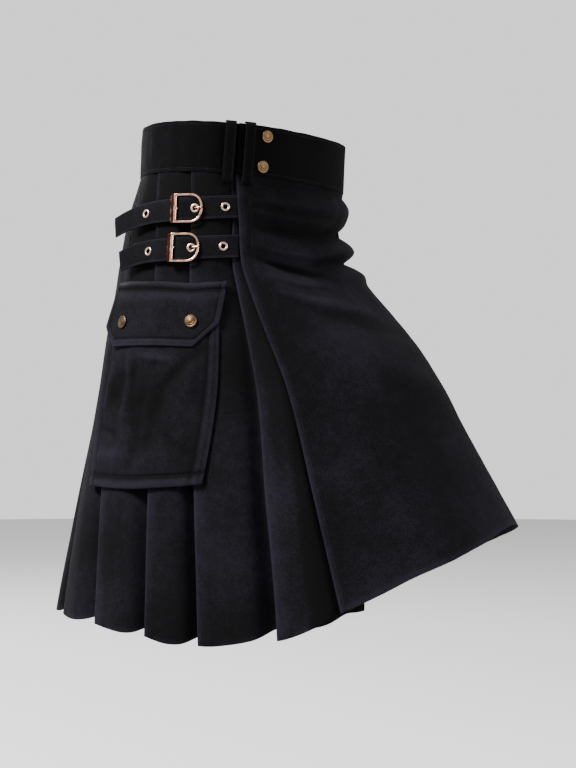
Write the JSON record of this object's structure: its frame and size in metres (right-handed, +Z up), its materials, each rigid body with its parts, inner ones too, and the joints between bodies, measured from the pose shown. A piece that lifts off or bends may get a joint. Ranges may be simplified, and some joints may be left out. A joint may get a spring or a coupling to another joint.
{
  "type": "kilt skirt",
  "caption": "Worn wrap-over utility kilt with a flared apron, knife pleats, side straps with buckles, a flapped pocket and a snap-closed waistband, hollow and open at waist and hem.",
  "frame": {"origin": "centre of the waistband, halfway up it, where the wearer's waist holds the kilt up", "axes": "+Z up, the front faces -Y, the wearer's right side is -X"},
  "size_m": [0.4452, 0.536, 0.5704],
  "materials": {
    "drill": "matt black cotton drill",
    "antique_brass": "antique brass, worn bright on the rim",
    "pale_brass": "satin brass",
    "copper": "polished copper colour"
  },
  "bodies": {
    "root": {"pleated_body": "drill", "over_apron": "drill", "under_apron": "drill", "waistband": "drill", "belt_loop_1": "drill", "belt_loop_2": "drill", "belt_loop_3": "drill", "belt_loop_4": "drill", "belt_loop_5": "drill", "belt_loop_6": "drill", "band_snap_1": "antique_brass", "band_snap_2": "antique_brass", "strap_upper": "drill", "buckle_tab_upper": "drill", "buckle_upper": "copper", "prong_upper": "copper", "eyelet_upper_1": "pale_brass", "eyelet_upper_2": "pale_brass", "eyelet_upper_3": "pale_brass", "strap_lower": "drill", "buckle_tab_lower": "drill", "buckle_lower": "copper", "prong_lower": "copper", "eyelet_lower_1": "pale_brass", "eyelet_lower_2": "pale_brass", "eyelet_lower_3": "pale_brass", "pocket_bag": "drill", "pocket_flap": "drill", "flap_snap_1": "antique_brass", "flap_snap_2": "antique_brass"}
  },
  "joints": []
}
